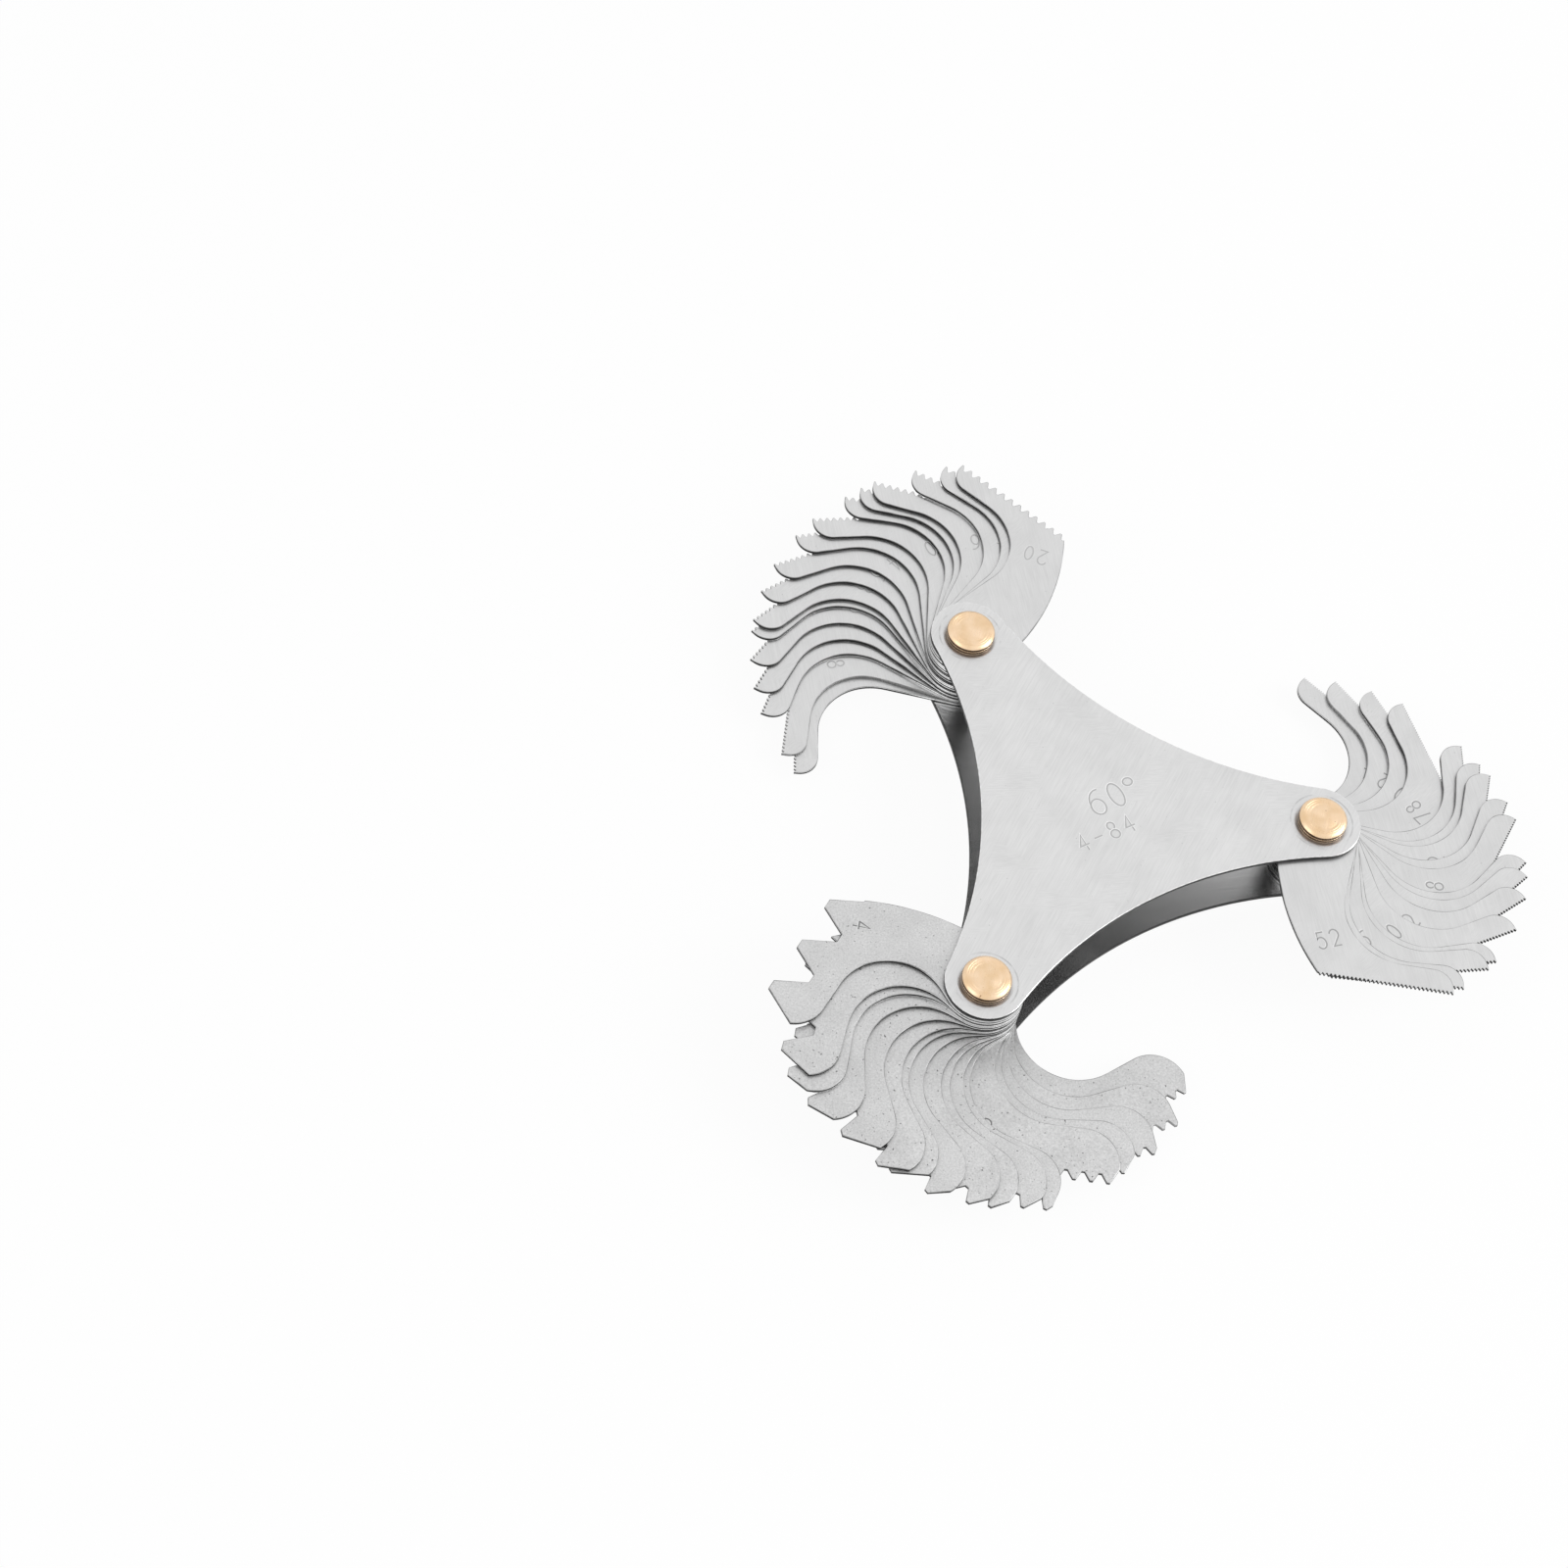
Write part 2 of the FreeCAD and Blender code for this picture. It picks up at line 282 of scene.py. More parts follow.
def rivet_marks(material):
    """What the riveting tool left on a plate: a dished foot round each head, and a scuffed ring."""
    tree = material.node_tree
    shader = tree.nodes["Principled BSDF"]
    place = add(tree, "ShaderNodeTexCoord").outputs["Object"]
    nearest = from_rivet(tree, place)
    past_ring = add(tree, "ShaderNodeMath", {
        0: nearest, 1: SCUFF_RADIUS * MM}, operation="SUBTRACT").outputs[0]
    off_ring = add(tree, "ShaderNodeMath", {0: past_ring}, operation="ABSOLUTE").outputs[0]
    ring = add(tree, "ShaderNodeMapRange", {
        "Value": off_ring, "From Min": SCUFF_WIDTH * MM, "From Max": 0.0}).outputs[0]
    # The tool touched on one side only, so the ring is broken
    touched = add(tree, "ShaderNodeMapRange", {
        "Value": stretched_noise(tree, place, (2.2, 2.2, 2.2), 0, 4.0, 11.0),
        "From Min": 0.46, "From Max": 0.6}).outputs[0]
    scuffed = add(tree, "ShaderNodeMath", {0: ring, 1: touched}, operation="MULTIPLY").outputs[0]
    colour = add(tree, "ShaderNodeMix", {
        "Factor": scuffed, 6: shader.inputs["Base Color"].links[0].from_socket, 7: srgb("#B6B6B6")},
        data_type="RGBA").outputs[2]
    tree.links.new(colour, shader.inputs["Base Color"])
    dish = add(tree, "ShaderNodeMapRange", {
        "Value": nearest, "From Min": HEAD_RADIUS * MM,
        "From Max": (HEAD_RADIUS + DISH_WIDTH) * MM}).outputs[0]
    dished = add(tree, "ShaderNodeBump", {
        "Height": dish, "Strength": 1.0, "Distance": DISH_DEPTH * MM,
        "Normal": shader.inputs["Normal"].links[0].from_socket}).outputs[0]
    tree.links.new(dished, shader.inputs["Normal"])
    return material


def blasted_steel():
    """Heavier strip, bead blasted: a duller grey with an even grain and small dark pits."""
    material, tree, shader = new_material("bead blasted spring steel", "#D2D2D2", 0.42)
    place = add(tree, "ShaderNodeTexCoord").outputs["Object"]
    # Bead marks are some 0.1 mm across, drawn at 0.2 mm so that they show
    grain = stretched_noise(tree, place, (0.2, 0.2, 0.2), 0, 2.0)
    pits = stretched_noise(tree, place, (0.32, 0.32, 0.32), 0, 1.0, 3.0)
    clouds = stretched_noise(tree, place, (5.0, 5.0, 5.0), 0, 3.0, 5.0)
    tone = between(tree, grain, 0.3, 0.7, "#C3C3C3", "#DCDCDC")
    pitted = between(tree, pits, 0.24, 0.33, "#5C5C5C", "#FFFFFF")
    wash = between(tree, clouds, 0.3, 0.6, "#F4F4F4", "#FFFFFF")
    washed = add(tree, "ShaderNodeMix", {"Factor": 1.0, 6: tone, 7: wash},
                 data_type="RGBA", blend_type="MULTIPLY").outputs[2]
    colour = add(tree, "ShaderNodeMix", {"Factor": 0.85, 6: washed, 7: pitted},
                 data_type="RGBA", blend_type="MULTIPLY").outputs[2]
    tree.links.new(colour, shader.inputs["Base Color"])
    tree.links.new(spread(tree, grain, 0.38, 0.5), shader.inputs["Roughness"])
    bump = add(tree, "ShaderNodeBump", {"Height": grain, "Strength": 0.3, "Distance": 0.015 * MM})
    tree.links.new(bump.outputs[0], shader.inputs["Normal"])
    return material


def rolled_steel():
    """The case's inner faces, left as they came from the mill: darker, smoother and a little oily."""
    material, tree, shader = new_material("mill rolled inner face", "#D2D2D2", 0.2)
    place = add(tree, "ShaderNodeTexCoord").outputs["Object"]
    # Roll marks run the long way of the strip, about 0.3 mm wide
    marks = stretched_noise(tree, place, (12.0, 0.3, 12.0), 10, 3.0)
    oil = stretched_noise(tree, place, (6.0, 6.0, 6.0), 0, 2.0, 2.0)
    tree.links.new(between(tree, marks, 0.3, 0.7, "#CECECE", "#D8D8D8"), shader.inputs["Base Color"])
    tree.links.new(spread(tree, oil, 0.18, 0.26), shader.inputs["Roughness"])
    return material


def sheared_edge_with_painted_light(name, step, thickness, tears, blunt_from):
    """A punched edge: bright where the punch burnished it, dark and streaked where it tore through.
    The bright part is also a painted highlight, and the dark part also painted shade.

    Tears are the least and the most that tore, as shares of the thickness. Blunt_from is the share of
    the sheets that a sharp punch cut.
    """
    material, tree, shader = new_material(name, "#3C3C3C", 0.42)
    place = add(tree, "ShaderNodeTexCoord").outputs["Object"]
    # Streaks from the punch run the short way, about 0.15 mm wide
    streaks = stretched_noise(tree, place, (0.15, 0.15, 2.0), 0, 3.0)
    # Painted light: the torn and smeared greys hold painted shade, and the burnished white is a painted
    # highlight
    torn_with_painted_shade = between(tree, streaks, 0.3, 0.7, "#1C1C1C", "#3A3A3A")
    smeared_with_painted_shade = between(tree, streaks, 0.3, 0.7, "#747474", "#A0A0A0")
    burnished_with_painted_highlight = between(tree, streaks, 0.3, 0.7, "#E2E2E2", "#FFFFFF")
    # The sheets lie a step apart, so the height over a sheet's lower face repeats
    height = add(tree, "ShaderNodeSeparateXYZ", {0: place}).outputs[2]
    below_roof = add(tree, "ShaderNodeMath", {
        0: height, 1: BAY_ROOF_Z * MM}, operation="SUBTRACT").outputs[0]
    steps = add(tree, "ShaderNodeMath", {0: below_roof, 1: step * MM}, operation="DIVIDE").outputs[0]
    share = add(tree, "ShaderNodeMath", {0: steps}, operation="FRACT").outputs[0]
    depth = add(tree, "ShaderNodeMath", {0: share, 1: step / thickness}, operation="MULTIPLY").outputs[0]
    # Some sheets were punched from their other face, so torn parts meet and a stack shows lines of painted
    # shade and painted highlight
    sheet = add(tree, "ShaderNodeMath", {0: steps}, operation="FLOOR").outputs[0]
    turn = add(tree, "ShaderNodeMath", {
        0: sheet, 1: TURNED_SHEETS}, operation="FLOORED_MODULO").outputs[0]
    turned = add(tree, "ShaderNodeMath", {0: turn, 1: 0.0, 2: 0.5}, operation="COMPARE").outputs[0]
    mirrored = add(tree, "ShaderNodeMath", {0: 1.0, 1: depth}, operation="SUBTRACT").outputs[0]
    from_torn = add(tree, "ShaderNodeMix", {"Factor": turned, 2: depth, 3: mirrored}).outputs[0]
    # No two sheets tore at the same depth
    chance = add(tree, "ShaderNodeTexWhiteNoise", {"W": sheet}, noise_dimensions="1D").outputs[0]
    low, high = tears
    tear = add(tree, "ShaderNodeMapRange", {"Value": chance, "To Min": low, "To Max": high}).outputs[0]
    # Near the roots the walls get more painted highlight, and further out the painted shade takes more of
    # the wall
    left = add(tree, "ShaderNodeMapRange", {
        "Value": from_rivet(tree, place), "From Min": ROOT_RADIUS * MM, "From Max": ROOT_HIGHLIGHT_RADIUS * MM,
        "To Max": OUTER_SHADE_GAIN}).outputs[0]
    torn_and_shaded_share = add(tree, "ShaderNodeMath", {0: tear, 1: left}, operation="ADD").outputs[0]
    line = add(tree, "ShaderNodeMath", {0: from_torn, 1: torn_and_shaded_share}, operation="GREATER_THAN").outputs[0]
    # A blunt punch smears some sheets' torn part, so their painted shade is a paler grey and a stack shows
    # pale and dark lines
    other_sheet = add(tree, "ShaderNodeMath", {0: sheet, 1: BLUNT_SEED}, operation="ADD").outputs[0]
    blunt = add(tree, "ShaderNodeMath", {
        0: add(tree, "ShaderNodeTexWhiteNoise", {"W": other_sheet}, noise_dimensions="1D").outputs[0],
        1: blunt_from}, operation="GREATER_THAN").outputs[0]
    torn_part_with_painted_shade = add(tree, "ShaderNodeMix", {
        "Factor": blunt, 6: torn_with_painted_shade, 7: smeared_with_painted_shade}, data_type="RGBA").outputs[2]
    colour = add(tree, "ShaderNodeMix", {
        "Factor": line, 6: torn_part_with_painted_shade, 7: burnished_with_painted_highlight}, data_type="RGBA").outputs[2]
    tree.links.new(colour, shader.inputs["Base Color"])
    gloss = add(tree, "ShaderNodeMix", {"Factor": line, 2: spread(tree, streaks, 0.5, 0.34), 3: 0.2})
    tree.links.new(gloss.outputs[0], shader.inputs["Roughness"])
    bump = add(tree, "ShaderNodeBump", {"Height": streaks, "Strength": 0.4, "Distance": 0.02 * MM})
    tree.links.new(bump.outputs[0], shader.inputs["Normal"])
    return material


def rolled_rim_with_painted_shade():
    """The rim that a punch pulls over: a grey hairline of painted shade, that is bright where it has been
    rubbed.
    """
    material, tree, shader = new_material("punch rolled steel rim in painted shade", "#8E8E8E", 0.35)
    place = add(tree, "ShaderNodeTexCoord").outputs["Object"]
    rubbed = stretched_noise(tree, place, (2.5, 2.5, 2.5), 0, 3.0)
    # The grey is painted shade that outlines each leaf's edge
    tree.links.new(between(tree, rubbed, 0.35, 0.7, "#7E7E7E", "#D0D0D0"), shader.inputs["Base Color"])
    return material


def tumbled_lip_with_painted_light(name, pale, nicked):
    """A plate's outer edge, rounded by tumbling: a hairline with small nicks, whose pale colour is a
    painted highlight and dark colour painted shade.
    """
    material, tree, shader = new_material(name, pale, 0.2)
    place = add(tree, "ShaderNodeTexCoord").outputs["Object"]
    nicks = stretched_noise(tree, place, (0.6, 0.6, 0.6), 0, 2.0)
    # Pale colours here are a painted highlight and dark ones painted shade; the nicks vary the tone
    tree.links.new(between(tree, nicks, 0.3, 0.6, nicked, pale), shader.inputs["Base Color"])
    return material


def engraved_groove_with_painted_light(name, dark, bright):
    """A groove scribed into steel: a dull grey line with painted shade, whose one wall has a painted
    highlight.
    """
    material, tree, shader = new_material(name, dark, 0.5)
    across = add(tree, "ShaderNodeSeparateXYZ", {
        0: add(tree, "ShaderNodeUVMap", uv_map="stroke").outputs[0]}).outputs[1]
    # Painted light across the groove: painted shade on one side, a painted highlight on the bright wall
    tree.links.new(between(tree, across, 0.62, 0.86, dark, bright), shader.inputs["Base Color"])
    valley = add(tree, "ShaderNodeMath", {0: across, 1: 0.4}, operation="SUBTRACT").outputs[0]
    height = add(tree, "ShaderNodeMath", {0: valley}, operation="ABSOLUTE").outputs[0]
    bump = add(tree, "ShaderNodeBump", {"Height": height, "Strength": 0.6, "Distance": 0.08 * MM})
    tree.links.new(bump.outputs[0], shader.inputs["Normal"])
    return material


def turned_brass(name, pale, deep, roughness, ring_strength):
    """Brass turned on a lathe, then rubbed: rings round the middle under fine straight lines."""
    material, tree, shader = new_material(name, pale, roughness)
    place = add(tree, "ShaderNodeTexCoord").outputs["Object"]
    from_axis = add(tree, "ShaderNodeAttribute", attribute_name="turned").outputs["Vector"]
    flat = add(tree, "ShaderNodeVectorMath", {
        0: from_axis, 1: (1, 1, 0)}, operation="MULTIPLY").outputs[0]
    radius = add(tree, "ShaderNodeVectorMath", {0: flat}, operation="LENGTH").outputs["Value"]
    turns = add(tree, "ShaderNodeMath", {0: radius, 1: math.tau / (TOOL_MARK * MM)}, operation="MULTIPLY")
    rings = add(tree, "ShaderNodeMath", {0: turns.outputs[0]}, operation="SINE").outputs[0]
    # Rubbing lines, drawn at 0.1 mm so that they show
    rubbed = stretched_noise(tree, place, (4.0, 0.1, 4.0), 75, 3.0)
    clouds = stretched_noise(tree, place, (1.6, 1.6, 1.6), 0, 3.0, 2.0)
    tone = between(tree, clouds, 0.32, 0.66, deep, pale)
    pits = between(tree, stretched_noise(tree, place, (0.5, 0.5, 0.5), 0, 1.0, 7.0), 0.2, 0.28,
                   "#8A6A48", "#FFFFFF")
    colour = add(tree, "ShaderNodeMix", {"Factor": 0.8, 6: tone, 7: pits},
                 data_type="RGBA", blend_type="MULTIPLY").outputs[2]
    tree.links.new(colour, shader.inputs["Base Color"])
    tree.links.new(spread(tree, rubbed, roughness - 0.06, roughness + 0.1), shader.inputs["Roughness"])
    ringed = add(tree, "ShaderNodeBump", {
        "Height": rings, "Strength": ring_strength, "Distance": 0.004 * MM}).outputs[0]
    lined = add(tree, "ShaderNodeBump", {
        "Height": rubbed, "Strength": 0.3, "Distance": 0.012 * MM, "Normal": ringed}).outputs[0]
    tree.links.new(lined, shader.inputs["Normal"])
    return material


# Outlines

def polar(radius, degrees, centre=(0, 0)):
    """A point in the plane, from its distance and direction."""
    angle = math.radians(degrees)
    return Vector(centre) + Vector((radius * math.cos(angle), radius * math.sin(angle)))


def direction(start, end):
    """The direction from one point to another, in degrees."""
    return math.degrees(math.atan2(end[1] - start[1], end[0] - start[0]))


def arc(centre, radius, first, last, clockwise):
    """Points along an arc, as close together as the sag asks."""
    start = direction(centre, first)
    sweep = direction(centre, last) - start
    sweep = -(-sweep % 360) if clockwise else sweep % 360
    step = 2 * math.degrees(math.acos(1 - ARC_SAG / radius))
    count = max(2, math.ceil(abs(sweep) / step))
    return [polar(radius, start + sweep * i / count, centre) for i in range(count + 1)]


def back_x(y):
    """The back curve's place at a height above the rivet."""
    centre = polar(BACK_RADIUS - ROOT_RADIUS, BACK_DIRECTION)
    return centre.x + math.sqrt(BACK_RADIUS ** 2 - (y - centre.y) ** 2)


def hollow_circle(band):
    """Centre and radius of the hollow, smaller where the root disc leaves less room."""
    top = REACH - band
    side = back_x(top - HOLLOW_RADIUS) - NECK_WIDTH
    clear_of = ROOT_RADIUS + HOLLOW_STANDOFF
    half_b = top + side + clear_of
    largest = half_b - math.sqrt(half_b ** 2 - top ** 2 - side ** 2 + clear_of ** 2)
    radius = min(HOLLOW_RADIUS, largest)
    return Vector((side - radius, top - radius)), radius


def blank_outline(band, nose_radius, end):
    """Closed outline of a leaf before its teeth, with the rivet at the origin."""
    back_centre = polar(BACK_RADIUS - ROOT_RADIUS, BACK_DIRECTION)
    corner = Vector((back_x(REACH), REACH))
    root_start = polar(-ROOT_RADIUS, BACK_DIRECTION)
    hollow, hollow_radius = hollow_circle(band)
    spread_angle = math.degrees(math.acos((ROOT_RADIUS + hollow_radius) / hollow.length))
    normal = direction((0, 0), hollow) + spread_angle
    root_end = polar(ROOT_RADIUS, normal)
    hollow_start = polar(-hollow_radius, normal, hollow)
    hollow_end = hollow + Vector((0, hollow_radius))
    nose = Vector((nose_radius - end, REACH - band + nose_radius))
    nose_start = nose - Vector((0, nose_radius))
    nose_end = nose - Vector((nose_radius, 0))
    points = arc(back_centre, BACK_RADIUS, corner, root_start, True)
    points += arc((0, 0), ROOT_RADIUS, root_start, root_end, True)[1:]
    points += arc(hollow, hollow_radius, hollow_start, hollow_end, False)
    points += arc(nose, nose_radius, nose_start, nose_end, True)
    return points + [Vector((-end, REACH))]


def cut_by_last_flank(points, last_crest):
    """The outline without what lies past the last tooth's flank."""
    def past(point):
        return last_crest + (point.y - REACH) * FLANK_SLOPE - point.x

    kept = []
    for here, after in zip(points, points[1:] + points[:1]):
        if past(here) <= 0:
            kept.append(here)
        if past(here) * past(after) < 0:
            kept.append(here.lerp(after, past(here) / (past(here) - past(after))))
    return kept


def plate_outline():
    """Three round corners and three hollow sides that run into them."""
    middle = ARM_LENGTH * math.cos(math.radians(60))
    half = ARM_LENGTH * math.sin(math.radians(60))
    inset = WAIST - middle
    side_radius = (half ** 2 + inset ** 2 - CORNER_RADIUS ** 2) / (2 * (CORNER_RADIUS - inset))
    points = []
    for arm in ARMS:
        corner = polar(ARM_LENGTH, arm)
        next_corner = polar(ARM_LENGTH, arm + 120)
        before = polar(WAIST + side_radius, arm - 60)
        after = polar(WAIST + side_radius, arm + 60)
        start = polar(CORNER_RADIUS, direction(corner, before), corner)
        finish = polar(CORNER_RADIUS, direction(corner, after), corner)
        next_start = polar(CORNER_RADIUS, direction(next_corner, after), next_corner)
        points += arc(corner, CORNER_RADIUS, start, finish, False)[1:]
        points += arc(after, side_radius, finish, next_start, True)[1:]
    return points


# Mesh helpers

def finished(name, mesh):
    """A scene object for a mesh whose place is already in its vertices."""
    piece = bpy.data.objects.new(name, mesh)
    bpy.context.scene.collection.objects.link(piece)
    return piece


def plain_mesh(maker):
    """The mesh that an object's modifiers or curve give, with the maker itself removed."""
    bpy.context.view_layer.update()
    evaluated = maker.evaluated_get(bpy.context.evaluated_depsgraph_get())
    mesh = bpy.data.meshes.new_from_object(evaluated)
    bpy.data.objects.remove(maker)
    return mesh


def sharpen(bm, degrees):
    """Smooth faces that break at every edge sharper than this."""
    for face in bm.faces:
        face.smooth = True
    for edge in bm.edges:
        edge.smooth = len(edge.link_faces) == 2 and edge.calc_face_angle(0) < math.radians(degrees)


def slab(points, thickness):
    """A mesh as thick as a sheet, cut to an outline."""
    bm = bmesh.new()
    ring = [bm.verts.new((p.x * MM, p.y * MM, 0)) for p in points]
    face = bm.faces.new(ring)
    raised = bmesh.ops.extrude_face_region(bm, geom=[face])["geom"]
    tops = [item for item in raised if isinstance(item, bmesh.types.BMVert)]
    bmesh.ops.translate(bm, verts=tops, vec=(0, 0, thickness * MM))
    bmesh.ops.recalc_face_normals(bm, faces=bm.faces)
    mesh = bpy.data.meshes.new("slab")
    bm.to_mesh(mesh)
    bm.free()
    return mesh


# Figures, drawn as single strokes

def bow(across, up, wide, high, start, end):
    """Part of an ellipse in a figure's box, which is one wide and one high."""
    count = max(3, int(abs(end - start) / BOW_STEP))
    turns = [math.radians(start + (end - start) * i / count) for i in range(count + 1)]
    return [(across + wide * math.cos(t), up + high * math.sin(t)) for t in turns]


FIGURES = {
    "0": [bow(0.5, 0.5, 0.4, 0.5, 90, 450)],
    "1": [[(0.28, 0.8), (0.55, 1.0), (0.55, 0.0)]],
    "2": [bow(0.48, 0.72, 0.38, 0.28, 165, -35) + [(0.1, 0.0), (0.9, 0.0)]],
    "3": [bow(0.46, 0.76, 0.34, 0.24, 155, -90) + bow(0.46, 0.26, 0.4, 0.26, 90, -155)],
    "4": [[(0.68, 0.0), (0.68, 1.0), (0.1, 0.32)], [(0.1, 0.32), (0.95, 0.32)]],
    "5": [[(0.85, 1.0), (0.24, 1.0), (0.17, 0.55)] + bow(0.46, 0.33, 0.4, 0.33, 125, -150)],
    "6": [bow(0.82, 0.42, 0.7, 0.58, 82, 178), bow(0.5, 0.31, 0.38, 0.31, 180, -180)],
    "7": [[(0.1, 1.0), (0.9, 1.0), (0.38, 0.0)]],
    "8": [bow(0.5, 0.76, 0.33, 0.24, -90, 270), bow(0.5, 0.26, 0.4, 0.26, 90, 450)],
    "9": [bow(0.5, 0.69, 0.38, 0.31, 0, 360), bow(0.18, 0.58, 0.7, 0.58, -2, -98)],
    "-": [[(0.15, 0.45), (0.85, 0.45)]],
    "/": [[(0.1, 0.0), (0.9, 1.0)]],
    "°": [bow(0.24, 0.81, 0.29, 0.17, 90, 450)],
}


def stroke(bm, uv, points, material_index):
    """A flat ribbon along a line, with its own map from one side to the other."""
    half = GROOVE_WIDTH * MM / 2
    closed = (points[0] - points[-1]).length < half
    last = len(points) - 1
    rows = []
    for i, point in enumerate(points):
        before = points[i - 1] if i else points[last - 1] if closed else point
        after = points[i + 1] if i < last else points[1] if closed else point
        along = ((point - before).normalized() + (after - point).normalized()).normalized()
        leg = (after - point) if i < last else (point - before)
        stretch = 1 / max(0.5, along.dot(leg.normalized()))
        side = Vector((-along.y, along.x, 0)) * half * stretch
        rows.append((bm.verts.new(point + side), bm.verts.new(point - side)))
    for (left, right), (next_left, next_right) in zip(rows, rows[1:]):
        face = bm.faces.new((left, right, next_right, next_left))
        face.material_index = material_index
        for loop, where in zip(face.loops, ((0, 0), (0, 1), (1, 1), (1, 0))):
            loop[uv].uv = where


def engrave(bm, uv, text, middle, z, size, turn, material_index):
    """A line of figures round a middle point, read in the direction of turn."""
    height, width, step = size
    place = Matrix.Translation((middle[0], middle[1], z)) @ Matrix.Rotation(math.radians(turn), 4, "Z")
    for i, character in enumerate(text):
        left = (i - (len(text) - 1) / 2) * step - width / 2
        for layer, line in enumerate(FIGURES[character]):
            rise = layer * STROKE_STEP
            points = [place @ Vector((left + x * width, (y - 0.5) * height, rise)) * MM for x, y in line]
            stroke(bm, uv, points, material_index)


def engrave_number(bm, uv, label, material_index):
    """A leaf's threads per inch, with a half written as a small fraction."""
    z = LEAF_THICKNESS + GROOVE_PROUD
    whole, _, half = label.partition(".")
    if not half:
        engrave(bm, uv, whole, NUMBER_PLACE, z, LEAF_FIGURES, NUMBER_TURN, material_index)
        return
    step = LEAF_FIGURES[2]
    engrave(bm, uv, whole, polar(-step / 2, NUMBER_TURN, NUMBER_PLACE), z, LEAF_FIGURES, NUMBER_TURN,
            material_index)
    beside = polar(len(whole) * step / 2, NUMBER_TURN, NUMBER_PLACE)
    for text, along, up, size in HALF_FIGURES:
        place = polar(up, NUMBER_TURN + 90, polar(along, NUMBER_TURN, beside))
        engrave(bm, uv, text, place, z, size, NUMBER_TURN, material_index)


# Node trees

def new_tree(name, inputs):
    """An empty geometry tree with its named inputs, and its two ends."""
    tree = bpy.data.node_groups.new(name, "GeometryNodeTree")
    tree.interface.new_socket("Geometry", in_out="INPUT", socket_type="NodeSocketGeometry")
    for label, kind in inputs:
        tree.interface.new_socket(label, in_out="INPUT", socket_type="NodeSocket" + kind)
    tree.interface.new_socket("Geometry", in_out="OUTPUT", socket_type="NodeSocketGeometry")
    return tree, tree.nodes.new("NodeGroupInput").outputs


def end_tree(tree, geometry, face_material, side_material):
    """Realizes the copies and gives walls one material and faces another."""
    real = add(tree, "GeometryNodeRealizeInstances", {0: geometry}).outputs[0]
    normal = add(tree, "GeometryNodeInputNormal").outputs[0]
    tilt = add(tree, "ShaderNodeSeparateXYZ", {0: normal}).outputs[2]
    upright = add(tree, "ShaderNodeMath", {0: tilt}, operation="ABSOLUTE").outputs[0]
    is_face = add(tree, "FunctionNodeCompare", {
        0: upright, 1: FACING}, operation="GREATER_THAN").outputs[0]
    sides = add(tree, "GeometryNodeSetMaterial", {
        "Geometry": real, "Material": side_material}).outputs[0]
    faces = add(tree, "GeometryNodeSetMaterial", {
        "Geometry": sides, "Selection": is_face, "Material": face_material}).outputs[0]
    add(tree, "NodeGroupOutput", {0: faces})
    return tree


def vector(tree, x, y, z):
    """Three numbers as one vector."""
    return add(tree, "ShaderNodeCombineXYZ", {0: x, 1: y, 2: z}).outputs[0]


def tooth_row_tree():
    """Cuts a row of sixty degree notches, and the bore, out of a leaf's blank."""
    tree, given = new_tree("tooth row", [
        ("Pitch", "Float"), ("Flat", "Float"), ("Depth", "Float"), ("First notch", "Float"),
        ("Notches", "Int"), ("Crest line", "Float"), ("Root rounding", "Float"),
        ("Thickness", "Float"), ("Bore radius", "Float"), ("Face", "Material"), ("Wall", "Material")])
    # A notch is as deep again above the crest line, to cut clear of it
    height = add(tree, "ShaderNodeMath", {0: given["Depth"], 1: 2.0}, operation="MULTIPLY").outputs[0]
    spreads = add(tree, "ShaderNodeMath", {0: height, 1: 2 * FLANK_SLOPE}, operation="MULTIPLY").outputs[0]
    mouth = add(tree, "ShaderNodeMath", {0: spreads, 1: given["Flat"]}, operation="ADD").outputs[0]
    notch = add(tree, "GeometryNodeCurvePrimitiveQuadrilateral", {
        "Height": height, "Bottom Width": given["Flat"], "Top Width": mouth, "Offset": 0.0},
        mode="TRAPEZOID").outputs[0]
    rounded = add(tree, "GeometryNodeFilletCurve", {
        "Curve": notch, "Radius": given["Root rounding"], "Count": 3}, mode="POLY").outputs[0]
    below = add(tree, "ShaderNodeMath", {0: given["Thickness"], 1: -1.0}, operation="MULTIPLY").outputs[0]
    above = add(tree, "ShaderNodeMath", {0: given["Thickness"], 1: 2.0}, operation="MULTIPLY").outputs[0]
    rail = add(tree, "GeometryNodeCurvePrimitiveLine", {
        "Start": vector(tree, 0.0, 0.0, below), "End": vector(tree, 0.0, 0.0, above)}).outputs[0]
    cutter = add(tree, "GeometryNodeCurveToMesh", {
        "Curve": rail, "Profile Curve": rounded, "Fill Caps": True}).outputs[0]
    places = add(tree, "GeometryNodeMeshLine", {
        "Count": given["Notches"],
        "Start Location": vector(tree, given["First notch"], given["Crest line"], 0.0),
        "Offset": vector(tree, given["Pitch"], 0.0, 0.0)}, mode="OFFSET").outputs[0]
    row = add(tree, "GeometryNodeInstanceOnPoints", {"Points": places, "Instance": cutter}).outputs[0]
    real_row = add(tree, "GeometryNodeRealizeInstances", {0: row}).outputs[0]
    tall = add(tree, "ShaderNodeMath", {0: given["Thickness"], 1: 4.0}, operation="MULTIPLY").outputs[0]
    bore = add(tree, "GeometryNodeMeshCylinder", {
        "Vertices": BORE_STEPS, "Radius": given["Bore radius"], "Depth": tall}).outputs[0]
    cuts = add(tree, "GeometryNodeJoinGeometry", {0: real_row}).outputs[0]
    tree.links.new(bore, cuts.node.inputs[0])
    toothed = add(tree, "GeometryNodeMeshBoolean", {
        "Mesh 1": given["Geometry"], "Mesh 2": cuts}, operation="DIFFERENCE", solver="EXACT").outputs[0]
    return end_tree(tree, toothed, given["Face"], given["Wall"])


